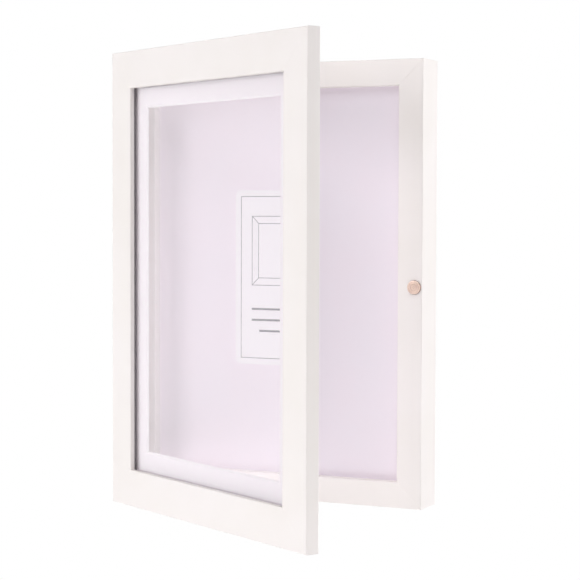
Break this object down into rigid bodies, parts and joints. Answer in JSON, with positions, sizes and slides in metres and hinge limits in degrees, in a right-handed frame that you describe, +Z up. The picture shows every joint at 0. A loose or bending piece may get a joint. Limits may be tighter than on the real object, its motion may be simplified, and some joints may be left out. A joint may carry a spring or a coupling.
{
  "type": "hinged photo frame",
  "caption": "Wall-hung box frame whose glazed, mounted door is hinged on the left and held shut by a magnet, so sheets are changed from the front.",
  "frame": {"origin": "the middle of the box's back, on the rear face of the backing board", "axes": "+X to the right seen from the front, +Y into the wall and -Y to the front, +Z up"},
  "size_m": [0.2779, 0.1823, 0.38],
  "materials": {
    "white_paint": "satin white paint on wood",
    "clear_glass": "clear float glass",
    "mat_board": "matt cream-white mat board with a cut bevel",
    "black_board": "matt black spacer board",
    "lilac_paper": "pale lilac paper",
    "white_card": "smooth white card",
    "grey_board": "grey board",
    "brown_hardboard": "brown hardboard",
    "softwood_strip": "planed softwood",
    "rose_plating": "satin rose-gold plating",
    "nickel_steel": "nickel-plated steel",
    "zinc_steel": "bright zinc-plated steel",
    "black_rubber": "soft black rubber"
  },
  "bodies": {
    "box": {"backing_board": "brown_hardboard", "backing_screw_1": "zinc_steel", "backing_screw_2": "zinc_steel", "backing_screw_3": "zinc_steel", "backing_screw_4": "zinc_steel", "backing_screw_5": "zinc_steel", "backing_screw_6": "zinc_steel", "box_rail_bottom": "white_paint", "box_rail_top": "white_paint", "box_stile_left": "white_paint", "box_stile_right": "white_paint", "bumper_left": "black_rubber", "bumper_right": "black_rubber", "catch_magnet": "rose_plating", "catch_magnet_screw": "zinc_steel", "display_board": "grey_board", "hanger_left": "zinc_steel", "hanger_left_nail_1": "zinc_steel", "hanger_left_nail_2": "zinc_steel", "hanger_right": "zinc_steel", "hanger_right_nail_1": "zinc_steel", "hanger_right_nail_2": "zinc_steel", "hinge_lower_box_leaf": "nickel_steel", "hinge_lower_box_screw_1": "zinc_steel", "hinge_lower_box_screw_2": "zinc_steel", "hinge_lower_pin": "nickel_steel", "hinge_upper_box_leaf": "nickel_steel", "hinge_upper_box_screw_1": "zinc_steel", "hinge_upper_box_screw_2": "zinc_steel", "hinge_upper_pin": "nickel_steel", "insert_sheet": "lilac_paper", "label_card": "white_card", "spacer_bottom": "softwood_strip", "spacer_left": "softwood_strip", "spacer_right": "softwood_strip", "spacer_top": "softwood_strip"},
    "door": {"door_glazing": "clear_glass", "door_rail_bottom": "white_paint", "door_rail_top": "white_paint", "door_stile_left": "white_paint", "door_stile_right": "white_paint", "door_tab_1": "zinc_steel", "door_tab_2": "zinc_steel", "door_tab_3": "zinc_steel", "door_tab_4": "zinc_steel", "door_tab_5": "zinc_steel", "door_tab_6": "zinc_steel", "hinge_lower_door_leaf": "nickel_steel", "hinge_lower_door_screw_1": "zinc_steel", "hinge_lower_door_screw_2": "zinc_steel", "hinge_upper_door_leaf": "nickel_steel", "hinge_upper_door_screw_1": "zinc_steel", "hinge_upper_door_screw_2": "zinc_steel", "mat_board": "mat_board", "mat_spacer": "black_board", "strike_plate": "zinc_steel", "strike_screw": "zinc_steel"}
  },
  "joints": [
    {"name": "door_hinge", "type": "hinge", "parent": "box", "child": "door", "pos_m": [-0.13255, -0.03155, 0], "axis": [0, 0, -1], "range_deg": [-29.8, 75]}
  ]
}
